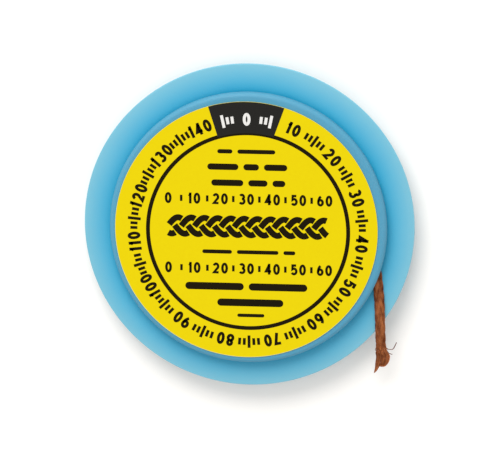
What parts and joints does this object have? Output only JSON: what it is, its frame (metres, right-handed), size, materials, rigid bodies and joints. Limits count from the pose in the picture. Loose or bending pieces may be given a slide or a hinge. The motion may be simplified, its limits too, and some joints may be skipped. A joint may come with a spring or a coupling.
{
  "type": "desoldering braid spool",
  "caption": "Flat round moulded spool of copper desoldering braid, with a round label on its upper disc and the braid's frayed free end coming out of the side slot.",
  "frame": {"origin": "on the spool's axis at the floor it lies on, under its foot", "axes": "+Z along the spool's axis, up out of the label; +Y towards the top of the label as it is read; +X to the label's right, the side on which the braid's free end comes out"},
  "size_m": [0.05, 0.05, 0.0066],
  "materials": {
    "blue_plastic": "sky blue injection-moulded antistatic plastic, satin, slightly translucent at its thin edge",
    "blue_disc": "sky blue injection-moulded antistatic plastic, satin, greyer where it is thick",
    "label_paper": "bright yellow coated paper sticker with black print",
    "copper_braid": "fine flux-coated copper wire braid, brownish red, soft metallic sheen"
  },
  "bodies": {
    "root": {"spool_base": "blue_plastic", "spool_cap": "blue_disc", "label": "label_paper", "braid_winding": "copper_braid", "braid_tail": "copper_braid"}
  },
  "joints": []
}
